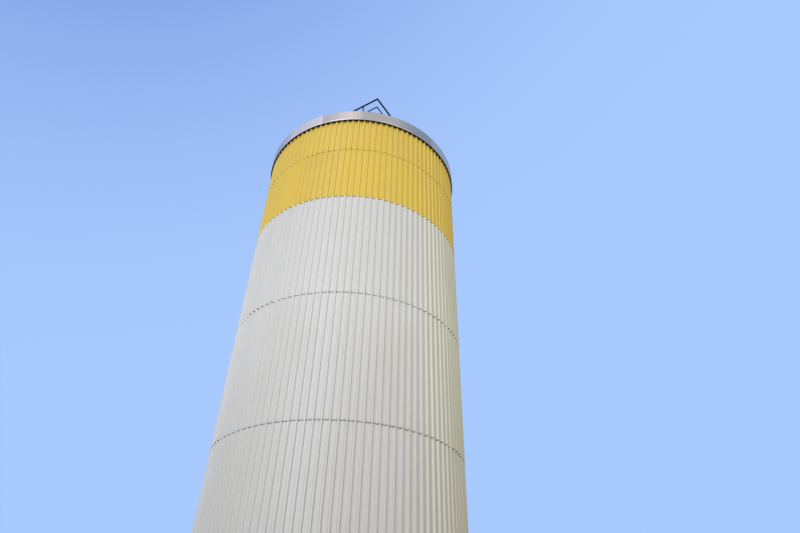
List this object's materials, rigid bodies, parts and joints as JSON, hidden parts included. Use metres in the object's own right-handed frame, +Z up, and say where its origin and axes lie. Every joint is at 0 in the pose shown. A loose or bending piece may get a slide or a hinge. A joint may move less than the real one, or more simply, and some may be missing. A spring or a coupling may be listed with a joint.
{
  "type": "grain silo",
  "caption": "Tall round grain silo with an insulated wall, ribbed steel cladding in white and yellow courses, a smooth rim band and a railed roof platform.",
  "frame": {"origin": "on the ground at the centre of the plinth's underside", "axes": "+Z up along the silo's axis; +X and +Y along the sides of the roof platform, with the gateway in the guard rail facing +Y"},
  "size_m": [5.446, 5.446, 15.4452],
  "materials": {
    "cladding_white": "satin white coil-coated steel sheet",
    "cladding_yellow": "satin yellow coil-coated steel sheet",
    "rim_sheet": "smooth satin stainless sheet",
    "flashing": "satin white folded sheet",
    "wall_steel": "primed steel plate with insulation",
    "galvanised": "weathered hot-dip galvanised steel",
    "roof_sheet": "dull rolled stainless sheet",
    "concrete": "cast concrete"
  },
  "bodies": {
    "root": {"foundation_plinth": "concrete", "floor_plate": "wall_steel", "base_flashing": "flashing", "wall_segment_01": "wall_steel", "wall_segment_02": "wall_steel", "wall_segment_03": "wall_steel", "wall_segment_04": "wall_steel", "wall_segment_05": "wall_steel", "wall_segment_06": "wall_steel", "wall_segment_07": "wall_steel", "wall_segment_08": "wall_steel", "wall_segment_09": "wall_steel", "wall_segment_10": "wall_steel", "wall_segment_11": "wall_steel", "wall_segment_12": "wall_steel", "cladding_white_1": "cladding_white", "cladding_white_2": "cladding_white", "cladding_white_3": "cladding_white", "cladding_white_4": "cladding_white", "cladding_yellow_1": "cladding_yellow", "cladding_yellow_2": "cladding_yellow", "rim_band_1": "rim_sheet", "rim_band_2": "rim_sheet", "rim_band_3": "rim_sheet", "rim_band_4": "rim_sheet", "rim_band_5": "rim_sheet", "rim_band_6": "rim_sheet", "rim_band_7": "rim_sheet", "rim_band_8": "rim_sheet", "roof_deck": "roof_sheet", "hatch_neck": "galvanised", "hatch_cover": "galvanised", "platform_beam_front": "galvanised", "platform_beam_rear": "galvanised", "platform_beam_left": "galvanised", "platform_beam_right": "galvanised", "platform_joist_left": "galvanised", "platform_joist_right": "galvanised", "grating_left": "galvanised", "grating_right": "galvanised", "grating_front": "galvanised", "grating_rear": "galvanised", "guardrail_front": "galvanised", "guardrail_right": "galvanised", "guardrail_left": "galvanised", "guardrail_rear_left": "galvanised", "guardrail_rear_right": "galvanised"}
  },
  "joints": []
}
